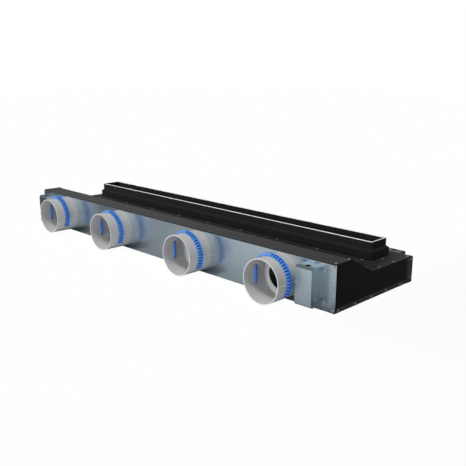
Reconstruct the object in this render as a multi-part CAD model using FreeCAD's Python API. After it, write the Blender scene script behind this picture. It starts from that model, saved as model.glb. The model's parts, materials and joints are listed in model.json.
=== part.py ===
import FreeCAD
import Part

import math
import os

from FreeCAD import Vector

# Plenum box of a linear slot diffuser, lying on its back with the slot facing up.
# X runs along the slot, Y from the duct side to the rear, Z up out of the slot.
# All sizes are millimetres. While a piece is drawn, Y is counted from the outer
# face of the front panel; every piece is moved as it is written, so that the
# origin is the middle of the base.

# Neck and slot
slot_length = 1000.0
slot_width = 51.0
slot_from_rear = 72.4
rim_width = 2.5
rim_height = 1.0
neck_step = 5.0
neck_lower = 20.0
neck_upper = 16.0
neck_flange = 11.4
frame_width = 22.7
frame_play = 0.5

# Body of folded sheet
end_margin = 45.5
body_depth = 286.0
front_height = 100.0
rear_height = 59.0
shelf_depth = 51.7
slope_run = 74.6
sheet = 1.0
bend = 0.8
seam = 0.3
lap = 11.0
hem = 10.0
hem_start = 4.0
wrap = 22.7
tab_width = 11.4
tab_slit = 1.5

# Duct spigots
duct_bore = 91.0
seat_bore = 90.2
spigot_wall = 2.0
spigot_reach = 65.0
spigot_height = 49.0
inner_pitch = 302.0
spigot_margin = 135.5
orifice = 65.0
stop_front = 3.0
root = 3.0
hole_play = 0.3
lug_count = 4
lug_height = 1.5
lug_length = 12.0
rib_width = 2.0
rib_height = 1.5

# Duct clips
clip_width = 11.5
clip_setback = 29.9
clip_play = 0.3
clip_thickness = 5.1
clip_drop = 27.5
pocket_pitch = 7.5
pocket_width = 3.6
pocket_depth = 4.0
pocket_front = 0.6
pocket_rear = 2.8
plain_top = 15.0
tongue_thickness = 5.0
tongue_setback = 1.1
tongue_depth = 5.7
tongue_half_height = 19.5
tongue_play = 0.3
slot_half_angle = 28.0
relief_angle = 11.0
relief_gap = 11.0
relief_centre = 105.0
relief_height = 1.2
relief_length = 3.0

# Hanging brackets
bracket_width = 41.4
bracket_flange = 14.6
bracket_reach = 29.0
bracket_base = 8.3
bracket_front_top = 89.3
bracket_sheet = 1.5
bracket_bend = 1.0
bracket_bevel = 3.8
bracket_lip = 12.0
bracket_end_gap = 22.0
hanger_hole = 12.0

# Screw heads
head_across_flats = 5.5
head_height = 1.2
head_margin = 4.5
panel_head_margin = 6.0
neck_heads = 9
neck_head_margin = 21.0
hem_heads = 5
hem_head_start = 13.0
hem_head_pitch = 56.5
hem_head_height = 3.6
cheek_head_setback = 7.2
cheek_head_margin = 5.5
cheek_head_drop = 12.9
flange_head_margin = 7.6
flange_head_lower = 9.6
slope_head_shares = (0.22, 0.72)
low_heads = 3
low_head_start = 33.0

# Places that follow from the sizes above
half = slot_length / 2 + end_margin
outer_end = half + sheet
cap_face = half - seam
cap_back = cap_face - sheet
inner_end = cap_back - seam
lining_front = sheet + seam
lining_rear = body_depth - sheet - seam
shelf_top = front_height - sheet
low_top = rear_height - sheet
slope_end = shelf_depth + slope_run
hem_end = body_depth - wrap - bend - seam

neck_centre = body_depth - slot_from_rear
upper_x = slot_length / 2 + rim_width
upper_y = slot_width / 2 + rim_width
lower_x = upper_x + neck_step
lower_y = upper_y + neck_step
cut_x = lower_x - sheet
cut_y = lower_y - sheet
flange_base = low_top + sheet
step_base = flange_base + neck_lower
step_top = step_base + neck_step
neck_top = step_top + neck_upper
overall_height = neck_top + rim_height

bore_radius = duct_bore / 2
barrel_radius = bore_radius + spigot_wall
clip_inner = barrel_radius + clip_play
clip_outer = clip_inner + clip_thickness
clip_rear = -clip_setback
clip_front = clip_rear - clip_width
clip_end_angle = math.degrees(math.asin(clip_drop / clip_inner))
tongue_rear = clip_rear - tongue_setback
tongue_front = tongue_rear - tongue_thickness
chord = bore_radius - tongue_depth
window_front = tongue_front - tongue_play

middle_x = inner_pitch / 2
side_x = half - spigot_margin
spigot_places = [-side_x, -middle_x, middle_x, side_x]

bracket_rear_top = low_top
bracket_span = bracket_width + bracket_flange
right_bracket = outer_end - bracket_end_gap - bracket_span
left_bracket = -outer_end + bracket_end_gap

# The base's middle lies halfway between the spigots' mouths and the rear brackets
base_middle = (body_depth + bracket_reach - spigot_reach) / 2


def across(x):
    """A section that is drawn in Y and Z, at one place along the box."""
    return lambda point: Vector(x, point.x, point.y)


def level(z):
    """A section that is drawn in X and Y, at one height."""
    return lambda point: Vector(point.x, point.y, z)


def upright(y):
    """A section that is drawn in X and Z, at one depth."""
    return lambda point: Vector(point.x, y, point.y)


def outline(corners, plane):
    """A face through corners given as (a, b, radius), with arcs at the round ones."""
    turns = []
    for index, (a, b, radius) in enumerate(corners):
        here = Vector(a, b, 0)
        before = corners[index - 1]
        after = corners[(index + 1) % len(corners)]
        back = (Vector(before[0], before[1], 0) - here).normalize()
        ahead = (Vector(after[0], after[1], 0) - here).normalize()
        if radius == 0:
            turns.append((here, None, here))
            continue
        opening = back.getAngle(ahead) / 2
        inward = (back + ahead).normalize()
        reach = radius / math.tan(opening)
        nearest = here + inward * (radius / math.sin(opening) - radius)
        turns.append((here + back * reach, nearest, here + ahead * reach))
    edges = []
    for index, (start, nearest, end) in enumerate(turns):
        if nearest is not None:
            edges.append(Part.Arc(plane(start), plane(nearest), plane(end)).toShape())
        following = turns[(index + 1) % len(turns)][0]
        edges.append(Part.LineSegment(plane(end), plane(following)).toShape())
    return Part.Face(Part.Wire(edges))


def offset_path(points, distance):
    """The path moved sideways, to its left, with mitred corners."""
    runs = [(Vector(*end, 0) - Vector(*start, 0)).normalize() for start, end in zip(points, points[1:])]
    lefts = [Vector(-run.y, run.x, 0) for run in runs]
    moved = []
    for index, point in enumerate(points):
        first = lefts[max(index - 1, 0)]
        second = lefts[min(index, len(lefts) - 1)]
        shift = (first + second) * (distance / (1 + first.dot(second)))
        moved.append((point[0] + shift.x, point[1] + shift.y))
    return moved


def folded(points, side, thickness, inside):
    """Section of a sheet folded along a path of its face; side 1 puts it to the left."""
    other = offset_path(points, side * thickness)
    face_radii = [0]
    back_radii = [0]
    for before, here, after in zip(points, points[1:], points[2:]):
        turn = (here[0] - before[0]) * (after[1] - here[1]) - (here[1] - before[1]) * (after[0] - here[0])
        outside = turn * side > 0
        face_radii.append(inside + thickness if outside else inside)
        back_radii.append(inside if outside else inside + thickness)
    face_radii.append(0)
    back_radii.append(0)
    near = [(a, b, radius) for (a, b), radius in zip(points, face_radii)]
    far = [(a, b, radius) for (a, b), radius in zip(other, back_radii)]
    return near + far[::-1]


def block(x0, x1, y0, y1, z0, z1):
    return Part.makeBox(x1 - x0, y1 - y0, z1 - z0, Vector(x0, y0, z0))


def ring_plate(outer_x, outer_y, inner_x, inner_y, z0, z1):
    """A flat rectangular frame round the slot's middle."""
    plate = block(-outer_x, outer_x, neck_centre - outer_y, neck_centre + outer_y, z0, z1)
    hole = block(-inner_x, inner_x, neck_centre - inner_y, neck_centre + inner_y, z0, z1)
    return plate.cut(hole)


def mirrored_x(shape):
    return shape.mirror(Vector(0, 0, 0), Vector(1, 0, 0))


def joined(shapes):
    return shapes[0].fuse(shapes[1:]).removeSplitter()


def spigot_holes(y0, y1):
    """What the spigots' barrels take out of a sheet, between two depths."""
    return [Part.makeCylinder(barrel_radius + hole_play, y1 - y0, Vector(x, y0, spigot_height), Vector(0, 1, 0))
            for x in spigot_places]


def bottom_tray():
    """Flat base with turned-up edges: hems outside the end caps, flanges inside the panels."""
    trough = folded(
        [(lining_front, hem), (lining_front, 0), (lining_rear, 0), (lining_rear, hem)], 1, sheet, bend)
    base = outline(trough, across(-inner_end)).extrude(Vector(2 * inner_end, 0, 0))
    fold_room = bend + sheet
    plate = block(-half, half, lining_front + fold_room, lining_rear - fold_room, 0, sheet)
    corner = folded([(half - fold_room, 0), (outer_end, 0), (outer_end, hem)], 1, sheet, bend)
    end_hem = outline(corner, upright(hem_start)).extrude(Vector(0, hem_end - hem_start, 0))
    tray = joined([base, plate, end_hem, mirrored_x(end_hem)])
    return tray.cut(spigot_holes(0, root + seam))


def front_panel():
    """Galvanised duct side, folded in under the cover, with a hole for each spigot."""
    top = shelf_top - sheet
    section = folded([(lap, top), (0, top), (0, 0)], 1, sheet, bend)
    face = outline(section, across(-inner_end)).extrude(Vector(2 * inner_end, 0, 0))
    edge = block(inner_end, outer_end, 0, sheet, 0, top)
    panel = joined([face, edge, mirrored_x(edge)])
    return panel.cut(spigot_holes(-sheet, 2 * sheet))


def rear_panel():
    """Low rear side, folded in under the cover and wrapped round both ends."""
    top = low_top - sheet
    section = folded([(body_depth - lap, top), (body_depth, top), (body_depth, 0)], -1, sheet, bend)
    face = outline(section, across(-inner_end)).extrude(Vector(2 * inner_end, 0, 0))
    corner = folded(
        [(inner_end, body_depth), (outer_end, body_depth), (outer_end, body_depth - wrap)], -1, sheet, bend)
    end_wrap = outline(corner, level(0)).extrude(Vector(0, 0, top))
    return joined([face, end_wrap, mirrored_x(end_wrap)])


cover_path = [(0, shelf_top), (shelf_depth, shelf_top), (slope_end, low_top), (body_depth, low_top)]


def top_cover():
    """Black cover: high shelf, slope and low plate folded from one sheet, cut out under the neck."""
    section = folded(cover_path, -1, sheet, bend)
    cover = outline(section, across(-inner_end)).extrude(Vector(2 * inner_end, 0, 0))
    opening = block(-cut_x, cut_x, neck_centre - cut_y, neck_centre + cut_y, low_top - 2 * sheet, low_top + sheet)
    return cover.cut(opening)


def end_cap():
    """Right-hand end: a plate with tabs over the cover and flanges behind the panels."""
    raised = offset_path(cover_path, sheet)
    top_line = [(lining_front, raised[0][1])] + raised[1:3] + [(lining_rear, raised[3][1])]
    corners = [(a, b, 0) for a, b in top_line]
    corners += [(lining_rear, lining_front, 0), (lining_front, lining_front, 0)]
    pieces = [outline(corners, across(cap_back)).extrude(Vector(sheet, 0, 0))]
    for index in range(3):
        start = Vector(*cover_path[index], 0)
        end = Vector(*cover_path[index + 1], 0)
        along = (end - start).normalize()
        rise = Vector(-along.y, along.x, 0) * sheet
        start += along * (lining_front if index == 0 else tab_slit)
        end -= along * (lining_front if index == 2 else tab_slit)
        tab = [start, end, end + rise, start + rise]
        face = outline([(point.x, point.y, 0) for point in tab], across(cap_face - tab_width))
        pieces.append(face.extrude(Vector(tab_width, 0, 0)))
    flange_low = hem + 2 * sheet
    front_top = shelf_top - 2 * sheet - lap
    rear_top = low_top - 2 * sheet - bend
    pieces.append(block(cap_face - lap, cap_face, lining_front, lining_front + sheet, flange_low, front_top))
    pieces.append(block(cap_face - lap, cap_face, lining_rear - sheet, lining_rear, flange_low, rear_top))
    return joined(pieces)


def stepped_block(inset):
    """The neck's stepped outer form, drawn in from all its walls by an inset."""
    lower = block(-lower_x + inset, lower_x - inset, neck_centre - lower_y + inset,
                  neck_centre + lower_y - inset, flange_base, step_base)
    upper = block(-upper_x + inset, upper_x - inset, neck_centre - upper_y + inset,
                  neck_centre + upper_y - inset, step_top, neck_top)
    rings = []
    for half_x, half_y, z in [(lower_x - inset, lower_y - inset, step_base),
                              (upper_x - inset, upper_y - inset, step_top)]:
        ring = [Vector(-half_x, neck_centre - half_y, z), Vector(half_x, neck_centre - half_y, z),
                Vector(half_x, neck_centre + half_y, z), Vector(-half_x, neck_centre + half_y, z)]
        rings.append(Part.makePolygon(ring + ring[:1]))
    bevel = Part.makeLoft(rings, True, True)
    return joined([lower, bevel, upper])


def slot_neck():
    """Black stepped neck with a flange that is screwed down round the cut-out."""
    flange = ring_plate(lower_x + neck_flange, lower_y + neck_flange, cut_x, cut_y,
                        flange_base, flange_base + sheet)
    return joined([stepped_block(0).cut(stepped_block(sheet)), flange])


def neck_frame():
    """Flat frame that stiffens the cover round the cut-out, under the neck's flange."""
    frame_x = cap_face - tab_width - frame_play
    return ring_plate(frame_x, lower_y + frame_width, cut_x, cut_y, low_top, flange_base)


def slot_rim():
    """Bare metal trim that covers the neck's upper edge."""
    return ring_plate(upper_x, upper_y, slot_length / 2, slot_width / 2, neck_top, overall_height)


def turned(profile):
    """A ring turned round the spigot's axis from corners given as (radius, y)."""
    points = [Vector(radius, y, 0) for radius, y in profile]
    face = Part.Face(Part.makePolygon(points + points[:1]))
    return face.revolve(Vector(0, 0, 0), Vector(0, 1, 0), 360)


def radial(shape, angle):
    """A piece drawn at three o'clock, turned to its angle round the spigot's axis."""
    copy = shape.copy()
    copy.rotate(Vector(0, 0, 0), Vector(0, 1, 0), -angle)
    return copy


def polar(radius, angle, y):
    """A point round the spigot's axis; angles count upwards from three o'clock."""
    return Vector(radius * math.cos(math.radians(angle)), y, radius * math.sin(math.radians(angle)))


def sector(inner, outer, y0, y1, start, end):
    """Part of a ring between two angles."""
    middle = (start + end) / 2
    edges = [
        Part.Arc(polar(outer, start, y0), polar(outer, middle, y0), polar(outer, end, y0)).toShape(),
        Part.LineSegment(polar(outer, end, y0), polar(inner, end, y0)).toShape(),
        Part.Arc(polar(inner, end, y0), polar(inner, middle, y0), polar(inner, start, y0)).toShape(),
        Part.LineSegment(polar(inner, start, y0), polar(outer, start, y0)).toShape()]
    return Part.Face(Part.Wire(edges)).extrude(Vector(0, y1 - y0, 0))


def duct_spigot():
    """Moulded socket for one round duct, drawn on its own axis with the panel at y 0."""
    mouth = -spigot_reach
    barrel = turned([
        (orifice / 2, -stop_front), (seat_bore / 2, -stop_front), (bore_radius, window_front),
        (bore_radius, mouth), (barrel_radius, mouth), (barrel_radius, root), (orifice / 2, root)])
    rib_root = barrel_radius - spigot_wall / 2
    rib_tip = barrel_radius + rib_height
    ribs = [block(rib_root, rib_tip, mouth, clip_front - clip_play, -rib_width / 2, rib_width / 2),
            block(rib_root, rib_tip, clip_rear + clip_play, -seam, -rib_width / 2, rib_width / 2)]
    lug = block(rib_root, barrel_radius + lug_height, sheet + seam, root, -lug_length / 2, lug_length / 2)
    lugs = [radial(lug, 360 / lug_count * (index + 0.5)) for index in range(lug_count)]
    barrel = joined([barrel] + [radial(rib, angle) for rib in ribs for angle in (0, 180)] + lugs)
    for angle in (0, 180):
        window = sector(bore_radius - 1, barrel_radius + 1, window_front, tongue_rear + tongue_play,
                        angle - slot_half_angle, angle + slot_half_angle)
        barrel = barrel.cut(window)
    return barrel


def duct_clip():
    """Push-on clip: two thirds of a ring with finger pockets and a tongue at each side."""
    clip = sector(clip_inner, clip_outer, clip_front, clip_rear, -clip_end_angle, 180 + clip_end_angle)
    below = block(-clip_outer, clip_outer, clip_front, clip_rear, -clip_outer, -clip_drop)
    clip = clip.cut(below)
    plate = block(chord, clip_outer, tongue_front, tongue_rear, -tongue_half_height, tongue_half_height)
    round_edge = Part.makeCylinder(
        clip_inner + clip_thickness / 2, tongue_thickness, Vector(0, tongue_front, 0), Vector(0, 1, 0))
    tongue = plate.common(round_edge)
    clip = joined([clip, tongue, radial(tongue, 180)])
    pocket = block(clip_outer - pocket_depth, clip_outer + 1, clip_front + pocket_front,
                   clip_rear - pocket_rear, -pocket_width / 2, pocket_width / 2)
    pockets = []
    angle = 90 - plain_top
    while angle > -clip_end_angle + pocket_pitch / 2:
        pockets += [radial(pocket, angle), radial(pocket, 180 - angle)]
        angle -= pocket_pitch
    for side in (-1, 1):
        middle = relief_centre + side * (relief_gap + relief_angle) / 2
        pockets.append(sector(clip_inner - 1, clip_inner + relief_height, clip_front - 1,
                              clip_front + relief_length, middle - relief_angle / 2, middle + relief_angle / 2))
    return clip.cut(pockets)


def hanging_bracket(top):
    """Folded box with a rod hole in both ends, on a panel at y 0; its left end is at x 0."""
    front = -bracket_reach
    path = [(0, bracket_base), (front + bracket_bevel, bracket_base), (front, bracket_base + bracket_bevel),
            (front, top - bracket_bevel), (front + bracket_bevel, top), (0, top)]
    strip = outline(folded(path, -1, bracket_sheet, bracket_bend), across(0)).extrude(Vector(bracket_width, 0, 0))
    flank = outline([(a, b, 0) for a, b in path], across(0)).extrude(Vector(bracket_span, 0, 0))
    right = [(bracket_width - bracket_sheet, front, 0), (bracket_width, front, 0),
             (bracket_width, -bracket_sheet, bracket_bend), (bracket_span, -bracket_sheet, 0),
             (bracket_span, 0, 0), (bracket_width - bracket_sheet, 0, bracket_bend + bracket_sheet)]
    left = [(0, front, 0), (bracket_sheet, front, 0), (bracket_sheet, -bracket_sheet, bracket_bend),
            (bracket_lip, -bracket_sheet, 0), (bracket_lip, 0, 0), (0, 0, 0)]
    cheeks = [outline(corners, level(bracket_base)).extrude(Vector(0, 0, top - bracket_base)).common(flank)
              for corners in (right, left)]
    bracket = joined([strip] + cheeks)
    rod = Part.makeCylinder(hanger_hole / 2, top, Vector(bracket_width / 2, front / 2, bracket_base / 2))
    return bracket.cut(rod)


def bracket_heads(top):
    """Screw heads of one bracket: two on its flange and two on its right cheek."""
    flange_x = bracket_span - (bracket_flange - flange_head_margin + bracket_sheet) / 2
    return [
        head(flange_x, -bracket_sheet, top - flange_head_margin, (0, -1, 0)),
        head(flange_x, -bracket_sheet, bracket_base + flange_head_lower, (0, -1, 0)),
        head(bracket_width, -cheek_head_setback, top - cheek_head_margin, (1, 0, 0)),
        head(bracket_width, -cheek_head_setback, bracket_base + cheek_head_drop, (1, 0, 0))]


def head(x, y, z, way):
    """The hexagonal head of one self-drilling screw, standing on its sheet."""
    corner = head_across_flats / math.sqrt(3)
    ring = [Vector(corner * math.cos(math.radians(60 * turn)), corner * math.sin(math.radians(60 * turn)), 0)
            for turn in range(6)]
    solid = Part.Face(Part.makePolygon(ring + ring[:1])).extrude(Vector(0, 0, head_height))
    solid.Placement = FreeCAD.Placement(Vector(x, y, z), FreeCAD.Rotation(Vector(0, 0, 1), Vector(*way)))
    return solid


def panel_heads(face_y, top, way):
    """Screw heads at both ends of a long panel, into the hem, the end cap and the fold."""
    x = outer_end - panel_head_margin
    heights = [hem / 2, (top + hem) / 2, top - head_across_flats / 2 - head_height / 2]
    return [head(side * x, face_y, z, way) for side in (-1, 1) for z in heights]


def end_heads():
    """Screw heads of the right-hand end cap: its tabs, the tray's hem and the rear wrap."""
    x = cap_face - head_margin
    heads = []
    raised = offset_path(cover_path, sheet)
    low_start = slope_end + low_head_start
    low_pitch = (body_depth - low_start - lap - head_margin) / (low_heads - 1)
    heads += [head(x, y, raised[0][1], (0, 0, 1)) for y in (lining_front + head_margin, shelf_depth - head_margin)]
    heads += [head(x, low_start + low_pitch * index, raised[3][1], (0, 0, 1)) for index in range(low_heads)]
    start = Vector(0, *raised[1])
    slope = Vector(0, *raised[2]) - start
    upward = (0, -slope.z, slope.y)
    for share in slope_head_shares:
        place = start + slope * share
        heads.append(head(x, place.y, place.z, upward))
    for index in range(hem_heads):
        heads.append(head(outer_end, hem_head_start + hem_head_pitch * index, hem_head_height, (1, 0, 0)))
    wrap_y = body_depth - sheet - bend - head_margin
    for z in (hem + sheet, low_top - sheet - head_margin):
        heads.append(head(outer_end, wrap_y, z, (1, 0, 0)))
    return heads


def neck_heads_round():
    """Screw heads on the neck's flange: a row along each side and one at each end."""
    z = flange_base + sheet
    reach = lower_x - neck_head_margin
    row_y = lower_y + neck_flange / 2
    heads = []
    for index in range(neck_heads):
        x = -reach + 2 * reach / (neck_heads - 1) * index
        heads += [head(x, neck_centre + side * row_y, z, (0, 0, 1)) for side in (-1, 1)]
    heads += [head(side * (lower_x + neck_flange / 2), neck_centre, z, (0, 0, 1)) for side in (-1, 1)]
    return heads


def moved(shape, x, y, z):
    copy = shape.copy()
    copy.translate(Vector(x, y, z))
    return copy


def at_spigots(shape):
    """One like piece at each spigot's place."""
    return Part.makeCompound([moved(shape, x, 0, spigot_height) for x in spigot_places])


def write(name, shape):
    """Save one piece, moved so that the origin is the middle of the base."""
    moved(shape, 0, -base_middle, 0).exportStep("parts/" + name + ".step")


def rear_copy(shape, x):
    """A bracket piece turned round to hang on the rear panel."""
    return moved(shape.mirror(Vector(0, 0, 0), Vector(0, 1, 0)), x, body_depth, 0)


def main():
    os.makedirs("parts", exist_ok=True)
    write("bottom_tray", bottom_tray())
    write("front_panel", front_panel())
    write("rear_panel", rear_panel())
    write("top_cover", top_cover())
    cap = end_cap()
    write("end_cap_right", cap)
    write("end_cap_left", mirrored_x(cap))
    write("slot_neck", slot_neck())
    write("neck_frame", neck_frame())
    write("slot_rim", slot_rim())

    write("duct_spigots", at_spigots(duct_spigot()))
    write("duct_clips", at_spigots(duct_clip()))

    front_bracket = hanging_bracket(bracket_front_top)
    rear_bracket = hanging_bracket(bracket_rear_top)
    front_heads = Part.makeCompound(bracket_heads(bracket_front_top))
    rear_heads = Part.makeCompound(bracket_heads(bracket_rear_top))
    sides = {"left": left_bracket, "right": right_bracket}
    for side, x in sides.items():
        write("front_bracket_" + side, moved(front_bracket, x, 0, 0))
        write("rear_bracket_" + side, rear_copy(rear_bracket, x))
    write("front_bracket_screws", Part.makeCompound([moved(front_heads, x, 0, 0) for x in sides.values()]))
    write("rear_bracket_screws", Part.makeCompound([rear_copy(rear_heads, x) for x in sides.values()]))

    write("front_panel_screws", Part.makeCompound(panel_heads(0, shelf_top - sheet, (0, -1, 0))))
    write("rear_panel_screws", Part.makeCompound(panel_heads(body_depth, low_top - sheet, (0, 1, 0))))
    heads = Part.makeCompound(end_heads())
    write("end_cap_right_screws", heads)
    write("end_cap_left_screws", mirrored_x(heads))
    write("neck_screws", Part.makeCompound(neck_heads_round()))


main()
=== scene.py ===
import json
import math

import bmesh
import bpy
from mathutils import Euler, Matrix, Vector


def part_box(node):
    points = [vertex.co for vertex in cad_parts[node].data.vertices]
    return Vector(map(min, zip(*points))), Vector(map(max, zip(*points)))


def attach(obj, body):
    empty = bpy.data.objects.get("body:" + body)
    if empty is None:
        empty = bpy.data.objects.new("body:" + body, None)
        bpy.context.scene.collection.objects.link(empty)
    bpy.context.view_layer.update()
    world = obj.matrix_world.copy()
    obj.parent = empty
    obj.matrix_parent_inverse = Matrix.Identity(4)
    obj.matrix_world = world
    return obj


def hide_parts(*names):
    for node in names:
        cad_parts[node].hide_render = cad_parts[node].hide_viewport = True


# Linear slot diffuser: the looks of its sheet metal and plastic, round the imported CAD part.
# Everything is in metres, in the CAD part's own frame, and angles are in degrees.

# Sockets and clips
bore_radius = 0.0455
wall = 0.002
seat_radius = 0.0451
orifice_radius = 0.0325
root_radius = 0.042
stop_front = 0.003
stop_back = 0.0015
lug_count = 4
lug_first_angle = 45
lug_height = 0.0015
lug_half_width = 0.006
lug_start = 0.0013
seam = 0.0003
rib_width = 0.002
rib_height = 0.0015
rib_lip = 0.0002
window_half_angle = 28
window_play = 0.0003
clip_play = 0.0003
clip_drop = 0.0275
pocket_pitch = 7.5
pocket_width = 0.0036
pocket_depth = 0.004
pocket_front = 0.0006
pocket_rear = 0.002
clip_chamfer = 0.004
plain_top = 7.5
tongue_thickness = 0.005
tongue_setback = 0.0011
tongue_half_height = 0.0195
tongue_depth = 0.0057
relief_angles = ((88.5, 99.5), (110.5, 121.5))
relief_depth = 0.0012
relief_length = 0.003
segment_angle = 2.5
overcut = 0.001
edge_radius = 0.0003
edge_steps = 2
edge_angle = 40
smooth_angle = 35
weld_distance = 0.00001
join_distance = 0.000001

# The clips' blue, and the darker blue of painted shade laid where a point lies in a pocket: by its radius,
# its depth and the front edge's slope
clip_blue = (0.09, 0.255, 0.68)
pocket_painted_shade_blue = (0.02, 0.16, 0.56)
pocket_shade_floor = (0.0483, 0.0487)
pocket_shade_top = (0.0525, 0.0520)
pocket_shade_depths = (-0.0411, -0.0409)
pocket_shade_slant = (0.0902, 0.0898)

# Camera, as in the photograph
camera_place = (1.2339, -1.0904, 0.4619)
camera_azimuth = 45.007
camera_elevation = 14.389
camera_roll = 0.118
camera_lens = 49.92
sensor_width = 36

# Light; a grade holds the range of its source and then the range of its result
key_strength = 1.6
key_direction = (-0.06, -0.4, 0.9)
key_softness = 12
fill_strength = 1.4
fill_direction = (0.05, -1, 0.15)
fill_softness = 25
ambient_grade_y = (-0.6, 0.6, 0.7, 0.2)
ambient_grade_x = (-0.3, 0.7, 1.05, 0.6)
sky_gloss_grade = (-0.75, -0.45, 0.6, 0.146)
floor_half_size = 12.0
# The floor's tones are painted: a painted grade of light that darkens towards the left and the rear, and
# painted shade beside the right-hand end that lifts towards the front
floor_painted_grade_x = (-0.75, 0.1, 0.1, 0.95)
floor_painted_grade_y = (0.15, -0.45, 0.0, 0.95)
floor_painted_shade_x = (0.545, 0.5, 0.0, 1.0)
floor_painted_shade_y = (-0.13, -0.2, 0.04, 0.6)
floor_gloss_stops = ((0.0, 0.03), (0.4, 0.25), (1.0, 0.66))
floor_diffuse = 0.85
floor_plain_share = 0.97
floor_gloss_share = 0.03

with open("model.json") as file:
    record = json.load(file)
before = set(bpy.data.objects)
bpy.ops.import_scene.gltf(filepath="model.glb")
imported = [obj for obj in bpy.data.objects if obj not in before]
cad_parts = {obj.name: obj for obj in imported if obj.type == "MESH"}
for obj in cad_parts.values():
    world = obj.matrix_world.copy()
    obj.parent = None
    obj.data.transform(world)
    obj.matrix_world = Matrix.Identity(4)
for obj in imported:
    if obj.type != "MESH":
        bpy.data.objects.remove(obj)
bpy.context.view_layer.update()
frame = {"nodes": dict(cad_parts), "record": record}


# Materials

# Sockets of a mix node that mixes colours
mix_share = 0
mix_first = 6
mix_second = 7
mix_result = 2


def new_material(name, colour, roughness, metallic=0.0, specular=0.5):
    """A plain material, which the functions below can vary."""
    material = bpy.data.materials.new(name)
    material.use_nodes = True
    shader = material.node_tree.nodes["Principled BSDF"]
    shader.inputs["Base Color"].default_value = (*colour, 1)
    shader.inputs["Roughness"].default_value = roughness
    shader.inputs["Metallic"].default_value = metallic
    shader.inputs["Specular IOR Level"].default_value = specular
    return material


def add_node(material, kind, **values):
    """Add a node. Each value goes to the input of that name, or else to the node's own setting."""
    node = material.node_tree.nodes.new(kind)
    for name, value in values.items():
        if name in node.inputs:
            node.inputs[name].default_value = value
        else:
            setattr(node, name, value)
    return node


def link(material, start, end):
    """Join the output of a node to the input of another."""
    material.node_tree.links.new(start, end)


def graded(material, source, run):
    """A value that goes over run's last two numbers while the source goes over its first two."""
    grade = add_node(material, "ShaderNodeMapRange")
    for name, value in zip(("From Min", "From Max", "To Min", "To Max"), run):
        grade.inputs[name].default_value = value
    link(material, source, grade.inputs["Value"])
    return grade.outputs["Result"]


def combined(material, operation, first, second):
    """Two sources put together by a math operation."""
    node = add_node(material, "ShaderNodeMath", operation=operation)
    link(material, first, node.inputs[0])
    link(material, second, node.inputs[1])
    return node.outputs[0]


def vary(material, scale, low, high, shares=(0.35, 0.65), stretch=(1, 1, 1)):
    """Let a soft noise in the object's own space drift the base colour between two values."""
    shader = material.node_tree.nodes["Principled BSDF"]
    place = add_node(material, "ShaderNodeTexCoord")
    mapping = add_node(material, "ShaderNodeMapping")
    mapping.inputs["Scale"].default_value = stretch
    noise = add_node(material, "ShaderNodeTexNoise", Scale=scale, Detail=3.0)
    ramp = add_node(material, "ShaderNodeValToRGB")
    ramp.color_ramp.elements[0].position = shares[0]
    ramp.color_ramp.elements[1].position = shares[1]
    ramp.color_ramp.elements[0].color = (*low, 1)
    ramp.color_ramp.elements[1].color = (*high, 1)
    link(material, place.outputs["Object"], mapping.inputs["Vector"])
    link(material, mapping.outputs["Vector"], noise.inputs["Vector"])
    link(material, noise.outputs["Fac"], ramp.inputs["Fac"])
    link(material, ramp.outputs["Color"], shader.inputs["Base Color"])


def roughen(material, scale, low, high):
    """Let a fine noise drift the roughness."""
    shader = material.node_tree.nodes["Principled BSDF"]
    place = add_node(material, "ShaderNodeTexCoord")
    noise = add_node(material, "ShaderNodeTexNoise", Scale=scale, Detail=2.0)
    spread = add_node(material, "ShaderNodeMapRange")
    spread.inputs["To Min"].default_value = low
    spread.inputs["To Max"].default_value = high
    link(material, place.outputs["Object"], noise.inputs["Vector"])
    link(material, noise.outputs["Fac"], spread.inputs["Value"])
    link(material, spread.outputs["Result"], shader.inputs["Roughness"])


def grain(material, scale, distance, strength):
    """A fine bump, as of powder coat."""
    shader = material.node_tree.nodes["Principled BSDF"]
    place = add_node(material, "ShaderNodeTexCoord")
    noise = add_node(material, "ShaderNodeTexNoise", Scale=scale, Detail=2.0)
    bump = add_node(material, "ShaderNodeBump", Strength=strength, Distance=distance)
    link(material, place.outputs["Object"], noise.inputs["Vector"])
    link(material, noise.outputs["Fac"], bump.inputs["Height"])
    link(material, bump.outputs["Normal"], shader.inputs["Normal"])


def galvanised():
    """Galvanised sheet, with a soft drift of tone and gloss."""
    material = new_material("galvanised", (0.72, 0.85, 0.94), roughness=0.26, metallic=1.0)
    vary(material, scale=9, low=(0.712, 0.842, 0.932), high=(0.728, 0.858, 0.948))
    roughen(material, scale=30, low=0.25, high=0.27)
    return material


def black_sheet():
    """Black powder coat, paler where it is seen at a low angle."""
    material = new_material("black_sheet", (0.014, 0.014, 0.014), roughness=0.5, specular=0.2)
    vary(material, scale=14, low=(0.0135, 0.0135, 0.0135), high=(0.0145, 0.0145, 0.0145))
    shader = material.node_tree.nodes["Principled BSDF"]
    shader.inputs["Sheen Weight"].default_value = 0.2
    shader.inputs["Sheen Roughness"].default_value = 0.35
    grain(material, scale=1800, distance=0.0001, strength=0.15)
    return material


def bare_aluminium():
    """Pale bare metal, drawn out along the slot."""
    material = new_material("bare_aluminium", (0.95, 0.95, 0.94), roughness=0.45)
    vary(material, scale=60, low=(0.92, 0.92, 0.91), high=(0.98, 0.98, 0.97), stretch=(0.1, 1, 1))
    return material


def grey_plastic():
    """Light grey moulded plastic."""
    material = new_material("grey_plastic", (0.54, 0.542, 0.545), roughness=0.45, specular=0.3)
    vary(material, scale=25, low=(0.53, 0.532, 0.535), high=(0.55, 0.552, 0.555))
    return material


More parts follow.
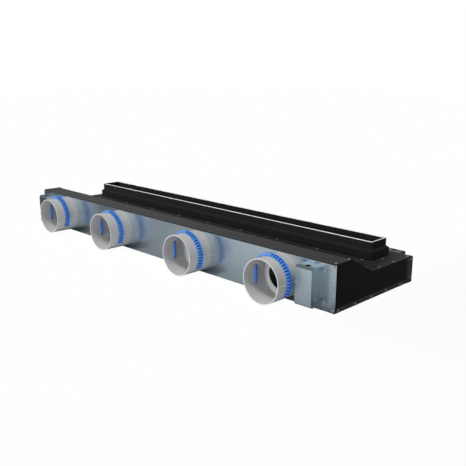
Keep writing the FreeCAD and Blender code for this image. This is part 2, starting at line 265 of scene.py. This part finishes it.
def blue_plastic():
    """Blue plastic, with painted shade: a darker blue in the pockets. Each clip's origin lies on its
    socket's axis, at the panel.
    """
    material = new_material("blue_plastic", clip_blue, roughness=0.38)
    shader = material.node_tree.nodes["Principled BSDF"]
    place = add_node(material, "ShaderNodeTexCoord")
    axes = add_node(material, "ShaderNodeSeparateXYZ")
    flat = add_node(material, "ShaderNodeCombineXYZ")
    radius = add_node(material, "ShaderNodeVectorMath", operation="LENGTH")
    link(material, place.outputs["Object"], axes.inputs[0])
    link(material, axes.outputs["X"], flat.inputs["X"])
    link(material, axes.outputs["Z"], flat.inputs["Z"])
    link(material, flat.outputs[0], radius.inputs[0])
    outside = graded(material, radius.outputs["Value"], pocket_shade_floor + (0, 1))
    deep = graded(material, radius.outputs["Value"], pocket_shade_top + (0, 1))
    behind = graded(material, axes.outputs["Y"], pocket_shade_depths + (0, 1))
    # Painted shade: the clip's blue, turned to a darker blue inside the pockets
    painted_tone = add_node(material, "ShaderNodeMix", data_type="RGBA")
    painted_tone.inputs[mix_first].default_value = (*clip_blue, 1)
    painted_tone.inputs[mix_second].default_value = (*pocket_painted_shade_blue, 1)
    slant = combined(material, "SUBTRACT", radius.outputs["Value"], axes.outputs["Y"])
    under = graded(material, slant, pocket_shade_slant + (0, 1))
    # Where the painted shade lies: inside a pocket and behind the front face
    painted_shade_mask = combined(material, "MULTIPLY", combined(material, "MULTIPLY", outside, deep), under)
    link(material, combined(material, "MULTIPLY", painted_shade_mask, behind), painted_tone.inputs[mix_share])
    link(material, painted_tone.outputs[mix_result], shader.inputs["Base Color"])
    return material


def zinc_screw():
    """Dull zinc on the screw heads."""
    material = new_material("zinc_screw", (0.46, 0.51, 0.54), roughness=0.3, metallic=0.7)
    roughen(material, scale=300, low=0.22, high=0.38)
    return material


makers = {
    "galvanised": galvanised,
    "black_sheet": black_sheet,
    "bare_aluminium": bare_aluminium,
    "grey_plastic": grey_plastic,
    "blue_plastic": blue_plastic,
    "zinc_screw": zinc_screw,
}
finishes = {name: maker() for name, maker in makers.items()}


def dress_nodes():
    """Give every CAD node the finish that the record names for it."""
    for entry in frame["record"]["subparts"]:
        node = frame["nodes"][entry["node"]]
        node.data.materials.clear()
        node.data.materials.append(finishes[entry["material_slot"]])


# Shapes


def polar(radius, angle, y):
    """A point round the Y axis; angles count upwards from three o'clock."""
    return (radius * math.cos(math.radians(angle)), y, radius * math.sin(math.radians(angle)))


def turned(profile):
    """A ring turned round the Y axis from a closed profile of (radius, y)."""
    form = bmesh.new()
    turns = round(360 / segment_angle)
    rings = [[form.verts.new(polar(radius, index * segment_angle, y)) for index in range(turns)]
             for radius, y in profile]
    for near, far in zip(rings, rings[1:] + rings[:1]):
        for index in range(turns):
            after = (index + 1) % turns
            form.faces.new((near[index], near[after], far[after], far[index]))
    return form


def swept(profile, start, end):
    """Part of a ring between two angles, from a closed profile of (radius, y)."""
    form = bmesh.new()
    steps = max(1, round((end - start) / segment_angle))
    angles = [start + (end - start) * index / steps for index in range(steps + 1)]
    rings = [[form.verts.new(polar(radius, angle, y)) for radius, y in profile] for angle in angles]
    for near, far in zip(rings, rings[1:]):
        for side in range(len(profile)):
            after = (side + 1) % len(profile)
            form.faces.new((near[side], near[after], far[after], far[side]))
    form.faces.new(rings[0][::-1])
    form.faces.new(rings[-1])
    return form


def sector(inner, outer, y0, y1, start, end):
    """Part of a plain ring between two angles."""
    return swept(((inner, y0), (outer, y0), (outer, y1), (inner, y1)), start, end)


def block(x0, x1, y0, y1, z0, z1, angle=0.0):
    """A box drawn at three o'clock, turned to its angle round the Y axis."""
    form = bmesh.new()
    bmesh.ops.create_cube(form, size=1)
    turn = Euler((0, -math.radians(angle), 0)).to_matrix()
    for vertex in form.verts:
        place = Vector((x0 + (vertex.co.x + 0.5) * (x1 - x0),
                        y0 + (vertex.co.y + 0.5) * (y1 - y0),
                        z0 + (vertex.co.z + 0.5) * (z1 - z0)))
        vertex.co = turn @ place
    return form


def prism(section, y0, y1):
    """A bar along Y with a section given as (x, z)."""
    form = bmesh.new()
    near, far = [[form.verts.new((x, y, z)) for x, z in section] for y in (y0, y1)]
    form.faces.new(near)
    form.faces.new(far[::-1])
    for index in range(len(section)):
        after = (index + 1) % len(section)
        form.faces.new((near[index], near[after], far[after], far[index]))
    return form


def as_object(name, form):
    """Make an object from a form, with its faces turned outwards."""
    bmesh.ops.recalc_face_normals(form, faces=form.faces)
    mesh = bpy.data.meshes.new(name)
    form.to_mesh(mesh)
    form.free()
    piece = bpy.data.objects.new(name, mesh)
    bpy.context.scene.collection.objects.link(piece)
    return piece


def settle(piece):
    """Turn a piece's modifiers into its plain mesh."""
    bpy.context.view_layer.update()
    graph = bpy.context.evaluated_depsgraph_get()
    mesh = bpy.data.meshes.new_from_object(piece.evaluated_get(graph))
    piece.modifiers.clear()
    piece.data = mesh


def combine(piece, tools, operation):
    """Fuse a piece with other forms, or cut them from it."""
    for number, form in enumerate(tools):
        tool = as_object("%s_tool_%d" % (piece.name, number), form)
        step = piece.modifiers.new("step", "BOOLEAN")
        step.operation = operation
        step.solver = "EXACT"
        step.object = tool
        settle(piece)
        bpy.data.objects.remove(tool)


def soften(piece, width):
    """Round the sharp edges a little, weld what meets and shade the rest smooth."""
    step = piece.modifiers.new("bevel", "BEVEL")
    step.width = width
    step.segments = edge_steps
    step.limit_method = "ANGLE"
    step.angle_limit = math.radians(edge_angle)
    step.use_clamp_overlap = True
    settle(piece)
    form = bmesh.new()
    form.from_mesh(piece.data)
    bmesh.ops.remove_doubles(form, verts=form.verts, dist=weld_distance)
    bmesh.ops.dissolve_degenerate(form, edges=form.edges, dist=weld_distance)
    form.to_mesh(piece.data)
    form.free()
    piece.data.shade_smooth()
    piece.data.set_sharp_from_angle(angle=math.radians(smooth_angle))


def at_spigots(piece, places, node, finish):
    """Put one like piece at each spigot and let them stand for the CAD node."""
    piece.data.materials.clear()
    piece.data.materials.append(finishes[finish])
    for number, place in enumerate(places, 1):
        copy = bpy.data.objects.new("%s_%d" % (piece.name, number), piece.data)
        bpy.context.scene.collection.objects.link(copy)
        copy.location = place
        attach(copy, "root")
        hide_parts(node)
    bpy.data.objects.remove(piece)


def islands(node):
    """The low and high corners of a CAD node's separate solids."""
    form = bmesh.new()
    form.from_mesh(frame["nodes"][node].data)
    bmesh.ops.remove_doubles(form, verts=form.verts, dist=join_distance)
    groups = []
    seen = set()
    for first in form.verts:
        if first in seen:
            continue
        seen.add(first)
        group = [first]
        for vertex in group:
            for edge in vertex.link_edges:
                other = edge.other_vert(vertex)
                if other not in seen:
                    seen.add(other)
                    group.append(other)
        low = Vector(min(vertex.co[axis] for vertex in group) for axis in range(3))
        high = Vector(max(vertex.co[axis] for vertex in group) for axis in range(3))
        groups.append((low, high))
    form.free()
    return groups


def socket_shape(mouth, back, clip, window):
    """A socket with its stop, ribs, lugs and windows; clip and window are pairs of front and rear."""
    barrel = bore_radius + wall
    middle = barrel - wall / 2
    crest = barrel + rib_height
    socket = as_object("duct_spigot", turned([
        (orifice_radius, -stop_front), (seat_radius, -stop_front), (bore_radius, window[0]),
        (bore_radius, mouth), (barrel, mouth), (barrel, back), (root_radius, back),
        (root_radius, -stop_back), (orifice_radius, -stop_back)]))
    section = [(middle, -rib_width / 2), (crest, -rib_width / 2), (crest, rib_lip - rib_width / 2),
               (barrel, rib_width / 2), (middle, rib_width / 2)]
    ribs = []
    for side in (-1, 1):
        for start, end in ((mouth, clip[0] - clip_play), (clip[1] + clip_play, -seam)):
            ribs.append(prism([(side * x, z) for x, z in section], start, end))
    lugs = [block(middle, barrel + lug_height, lug_start, back, -lug_half_width, lug_half_width,
                  lug_first_angle + 360 / lug_count * index) for index in range(lug_count)]
    combine(socket, ribs + lugs, "UNION")
    windows = [sector(bore_radius - overcut, barrel + overcut, window[0], window[1],
                      angle - window_half_angle, angle + window_half_angle) for angle in (0, 180)]
    combine(socket, windows, "DIFFERENCE")
    soften(socket, edge_radius)
    return socket


def tongue_form(inner, outer, tongue, angle):
    """A clip's tongue: a flat bar with a round back that reaches into the socket's window."""
    piece = as_object("tongue", block(bore_radius - tongue_depth, outer, tongue[0], tongue[1],
                                      -tongue_half_height, tongue_half_height, angle))
    front = tongue[0] - overcut
    rear = tongue[1] + overcut
    reach = (inner + outer) / 2
    combine(piece, [turned([(overcut, front), (reach, front), (reach, rear), (overcut, rear)])], "INTERSECT")
    form = bmesh.new()
    form.from_mesh(piece.data)
    bpy.data.objects.remove(piece)
    return form


def pocket_forms(inner, outer, front, rear, end_angle):
    """The cuts in a clip: the row of pockets down both sides, and two reliefs under the front edge."""
    pockets = []
    angle = 90 - plain_top
    while angle > -end_angle + pocket_pitch / 2:
        for turn in (angle, 180 - angle):
            pockets.append(block(outer - pocket_depth, outer + overcut, front + pocket_front,
                                 rear - pocket_rear, -pocket_width / 2, pocket_width / 2, turn))
        angle -= pocket_pitch
    for start, end in relief_angles:
        pockets.append(sector(inner - overcut, inner + relief_depth, front - overcut,
                              front + relief_length, start, end))
    return pockets


def clip_shape(outer, front, rear, tongue):
    """A clip: an open ring with a sloped front edge, two tongues and its pockets."""
    inner = bore_radius + wall + clip_play
    end_angle = math.degrees(math.asin(clip_drop / inner))
    section = ((inner, front), (outer - clip_chamfer, front), (outer, front + clip_chamfer),
               (outer, rear), (inner, rear))
    clip = as_object("duct_clip", swept(section, -end_angle, 180 + end_angle))
    below = block(-outer, outer, front - overcut, rear + overcut, -outer, -clip_drop)
    combine(clip, [below], "DIFFERENCE")
    combine(clip, [tongue_form(inner, outer, tongue, angle) for angle in (0, 180)], "UNION")
    combine(clip, pocket_forms(inner, outer, front, rear, end_angle), "DIFFERENCE")
    soften(clip, edge_radius / 2)
    return clip


def build_plastic():
    """Draw a socket and a clip to the size of the CAD solids, and put both at every spigot."""
    clip_low, clip_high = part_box("duct_clips")
    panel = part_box("front_panel")[0].y
    solids = sorted(islands("duct_spigots"), key=lambda box: box[0].x)
    low, high = solids[0]
    axis_z = (low.z + high.z) / 2
    places = [Vector(((left.x + right.x) / 2, panel, axis_z)) for left, right in solids]
    clip_front = clip_low.y - panel
    clip_rear = clip_high.y - panel
    tongue_rear = clip_rear - tongue_setback
    tongue_front = tongue_rear - tongue_thickness
    window = (tongue_front - window_play, tongue_rear + window_play)
    socket = socket_shape(low.y - panel, high.y - panel, (clip_front, clip_rear), window)
    at_spigots(socket, places, "duct_spigots", "grey_plastic")
    clip = clip_shape(clip_high.z - axis_z, clip_front, clip_rear, (tongue_front, tongue_rear))
    at_spigots(clip, places, "duct_clips", "blue_plastic")


# Room and light


def mirror_only(material, path):
    """One on rays that reach here by mirroring alone, with no plain surface before."""
    first = graded(material, path.outputs["Diffuse Depth"], (0, 1, 1, 0))
    return combined(material, "MULTIPLY", path.outputs["Is Glossy Ray"], first)


def add_world():
    """White behind the object, and light on plain surfaces and in gloss that both dim towards the rear."""
    world = bpy.data.worlds.new("studio")
    bpy.context.scene.world = world
    world.use_nodes = True
    world.node_tree.nodes.clear()
    path = add_node(world, "ShaderNodeLightPath")
    place = add_node(world, "ShaderNodeTexCoord")
    axes = add_node(world, "ShaderNodeSeparateXYZ")
    clear = add_node(world, "ShaderNodeMath", operation="MAXIMUM")
    plain = add_node(world, "ShaderNodeBackground")
    sky = add_node(world, "ShaderNodeBackground")
    white = add_node(world, "ShaderNodeBackground")
    for background in (plain, sky, white):
        background.inputs["Color"].default_value = (1, 1, 1, 1)
    glossy = add_node(world, "ShaderNodeMixShader")
    mix = add_node(world, "ShaderNodeMixShader")
    output = add_node(world, "ShaderNodeOutputWorld")
    link(world, place.outputs["Generated"], axes.inputs[0])
    along = graded(world, axes.outputs["X"], ambient_grade_x)
    link(world, combined(world, "MULTIPLY", graded(world, axes.outputs["Y"], ambient_grade_y), along),
         plain.inputs["Strength"])
    link(world, graded(world, axes.outputs["Y"], sky_gloss_grade), sky.inputs["Strength"])
    link(world, mirror_only(world, path), glossy.inputs["Fac"])
    link(world, plain.outputs[0], glossy.inputs[1])
    link(world, sky.outputs[0], glossy.inputs[2])
    link(world, path.outputs["Is Camera Ray"], clear.inputs[0])
    link(world, path.outputs["Is Transmission Ray"], clear.inputs[1])
    link(world, clear.outputs[0], mix.inputs["Fac"])
    link(world, glossy.outputs[0], mix.inputs[1])
    link(world, white.outputs[0], mix.inputs[2])
    link(world, mix.outputs[0], output.inputs["Surface"])


def painted_floor_tones(material):
    """The floor's painted tones in gloss and in plain light: painted shade beside the right-hand end in
    both, and in gloss a painted grade of light, darker towards the left and the rear.
    """
    place = add_node(material, "ShaderNodeTexCoord")
    axes = add_node(material, "ShaderNodeSeparateXYZ")
    link(material, place.outputs["Object"], axes.inputs[0])
    x = axes.outputs["X"]
    y = axes.outputs["Y"]
    # Painted shade: dark beside the right-hand end, lifting towards the front
    clear_of_painted_shade = combined(material, "MAXIMUM", graded(material, x, floor_painted_shade_x),
                          graded(material, y, floor_painted_shade_y))
    # Painted grade of light: darker towards the left and the rear
    spread = combined(material, "MULTIPLY", graded(material, x, floor_painted_grade_x),
                      graded(material, y, floor_painted_grade_y))
    ramp = add_node(material, "ShaderNodeValToRGB")
    stops = ramp.color_ramp.elements
    stops.new(floor_gloss_stops[1][0])
    for stop, (position, level) in zip(stops, floor_gloss_stops):
        stop.position = position
        stop.color = (level, level, level, 1)
    link(material, combined(material, "MULTIPLY", clear_of_painted_shade, spread), ramp.inputs["Fac"])
    return ramp.outputs["Color"], graded(material, clear_of_painted_shade, (0, 1, 0, floor_diffuse))


def add_floor():
    """Pale floor: white to the camera with a trace of the object's shadow; in bounced light it carries
    painted shade, and to mirrored rays it glows with a painted grade of light and shade.
    """
    form = bmesh.new()
    bmesh.ops.create_grid(form, size=floor_half_size)
    floor = as_object("floor", form)
    material = bpy.data.materials.new("floor")
    material.use_nodes = True
    material.node_tree.nodes.clear()
    shaded = add_node(material, "ShaderNodeBsdfDiffuse")
    path = add_node(material, "ShaderNodeLightPath")
    painted_tone = add_node(material, "ShaderNodeMix", data_type="RGBA")
    painted_tone.inputs[mix_second].default_value = (1, 1, 1, 1)
    glow = add_node(material, "ShaderNodeEmission")
    ground = add_node(material, "ShaderNodeMix", data_type="RGBA")
    mix = add_node(material, "ShaderNodeMixShader")
    output = add_node(material, "ShaderNodeOutputMaterial")
    gloss, paleness_with_painted_shade = painted_floor_tones(material)
    mirrored = mirror_only(material, path)
    # Painted shade in the floor's colour for bounced light, and the painted grade of light in gloss
    link(material, mirrored, ground.inputs[mix_share])
    link(material, paleness_with_painted_shade, ground.inputs[mix_first])
    link(material, gloss, ground.inputs[mix_second])
    link(material, ground.outputs[mix_result], shaded.inputs["Color"])
    link(material, path.outputs["Is Camera Ray"], painted_tone.inputs[mix_share])
    link(material, gloss, painted_tone.inputs[mix_first])
    link(material, painted_tone.outputs[mix_result], glow.inputs["Color"])
    shown = graded(material, path.outputs["Is Camera Ray"], (0, 1, 0, floor_plain_share))
    reflected = graded(material, mirrored, (0, 1, 0, floor_gloss_share))
    link(material, combined(material, "MAXIMUM", shown, reflected), mix.inputs["Fac"])
    link(material, shaded.outputs[0], mix.inputs[1])
    link(material, glow.outputs[0], mix.inputs[2])
    link(material, mix.outputs[0], output.inputs["Surface"])
    floor.data.materials.append(material)


def add_sun(name, strength, direction, softness):
    """A lamp far away; direction points to it."""
    light = bpy.data.lights.new(name, "SUN")
    light.energy = strength
    light.angle = math.radians(softness)
    lamp = bpy.data.objects.new(name, light)
    lamp.rotation_euler = Vector(direction).to_track_quat("Z", "Y").to_euler()
    lamp.visible_glossy = False
    bpy.context.scene.collection.objects.link(lamp)


def add_camera():
    """The camera where the photograph was taken from."""
    data = bpy.data.cameras.new("camera")
    data.lens = camera_lens
    data.sensor_width = sensor_width
    camera = bpy.data.objects.new("camera", data)
    camera.location = camera_place
    aim = Euler((math.radians(90 - camera_elevation), 0, math.radians(camera_azimuth))).to_matrix()
    camera.rotation_euler = (aim @ Matrix.Rotation(math.radians(camera_roll), 3, "Z")).to_euler()
    bpy.context.scene.collection.objects.link(camera)
    bpy.context.scene.camera = camera


bpy.context.scene.view_settings.view_transform = "Standard"
dress_nodes()
build_plastic()
add_world()
add_floor()
add_sun("key", key_strength, key_direction, key_softness)
add_sun("fill", fill_strength, fill_direction, fill_softness)
add_camera()
